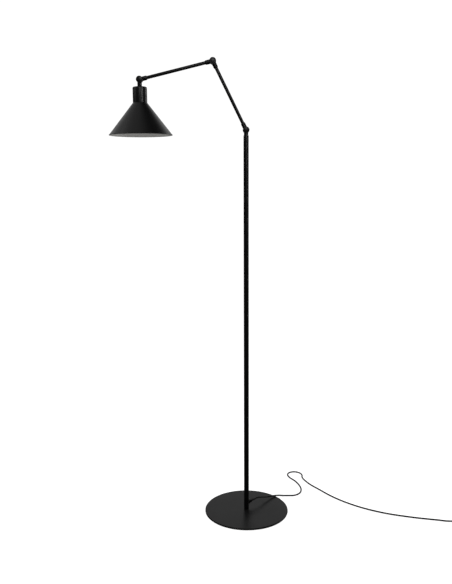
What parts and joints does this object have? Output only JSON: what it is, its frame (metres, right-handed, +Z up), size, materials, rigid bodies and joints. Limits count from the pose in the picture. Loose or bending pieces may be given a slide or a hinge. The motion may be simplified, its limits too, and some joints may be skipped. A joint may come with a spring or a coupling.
{
  "type": "adjustable arm floor lamp",
  "caption": "Floor lamp with a round flat base, a thin pole, a jointed arm with friction knuckles and a hanging conical metal shade, with its cord and foot switch.",
  "frame": {"origin": "on the floor under the centre of the pole, at the underside of the base pad", "axes": "+Z up along the pole; the arm reaches towards -X; the front of the knuckles faces -Y"},
  "size_m": [1.2198, 0.4305, 1.4301],
  "materials": {
    "lacquer": "satin black lacquer",
    "plate": "fine matt charcoal powder coat",
    "pad": "matt",
    "steel": "zinc plated",
    "brass": "plain",
    "cord": "smooth matt sheath",
    "plastic": "fine grained",
    "wire": "plain",
    "ceramic": "glazed white"
  },
  "bodies": {
    "stand": {"base_pad": "pad", "base_plate": "plate", "base_screw": "steel", "pole_foot": "steel", "pole": "lacquer", "pole_screw": "steel", "pole_cable": "cord", "cord_grip": "lacquer", "grip_screw": "steel", "strain_relief": "plastic", "cord_lead": "cord", "switch_base": "plastic", "switch_cover": "plastic", "switch_spring": "steel", "cord_link": "cord", "cord_coil": "cord", "coil_tie": "plastic", "cord_tail": "cord", "plug_body": "plastic", "plug_pins": "brass"},
    "neck": {"shoulder_fixed_half": "lacquer", "shoulder_axle": "steel", "shoulder_washers": "brass", "shoulder_nut": "steel", "shoulder_back_cap": "lacquer", "neck_wires": "wire"},
    "lower_arm": {"shoulder_turning_half": "lacquer", "shoulder_front_cap": "lacquer", "lower_arm_tube": "lacquer", "lower_arm_screws": "steel", "lower_arm_wires": "wire", "elbow_fixed_half": "lacquer", "elbow_axle": "steel", "elbow_washers": "brass", "elbow_nut": "steel", "elbow_back_cap": "lacquer"},
    "upper_arm": {"elbow_turning_half": "lacquer", "elbow_front_cap": "lacquer", "upper_arm_tube": "lacquer", "upper_arm_screws": "steel", "upper_arm_wires": "wire", "head_fixed_half": "lacquer", "head_axle": "steel", "head_washers": "brass", "head_nut": "steel", "head_back_cap": "lacquer"},
    "head": {"head_turning_half": "lacquer", "head_front_cap": "lacquer", "head_wires": "wire", "nipple": "steel", "nipple_nut": "steel", "socket_cup": "lacquer", "shade": "lacquer", "shade_ring": "plastic", "holder_cap": "ceramic", "holder_body": "ceramic", "screw_shell": "brass", "centre_contact": "brass"},
    "foot_button": {"switch_button": "plastic"}
  },
  "joints": [
    {"name": "neck_swivel", "type": "hinge", "parent": "stand", "child": "neck", "pos_m": [0, 0, 1.2035], "axis": [0, 0, 1], "range_deg": [-160, 160]},
    {"name": "shoulder", "type": "hinge", "parent": "neck", "child": "lower_arm", "pos_m": [0, 0, 1.22], "axis": [0, -1, 0], "range_deg": [-116.2, 63.8]},
    {"name": "elbow", "type": "hinge", "parent": "lower_arm", "child": "upper_arm", "pos_m": [-0.09846, 0, 1.42009], "axis": [0, -1, 0], "range_deg": [-167.2, 12.8]},
    {"name": "head_tilt", "type": "hinge", "parent": "upper_arm", "child": "head", "pos_m": [-0.31636, 0, 1.36818], "axis": [0, -1, 0], "range_deg": [-166.6, 13.4]},
    {"name": "foot_button_press", "type": "slide", "parent": "stand", "child": "foot_button", "axis": [0, 0, -1], "range_m": [0, 0.003], "stiffness_N_per_m": 400, "springref_m": -0.003, "deforming": ["switch_spring"]}
  ]
}
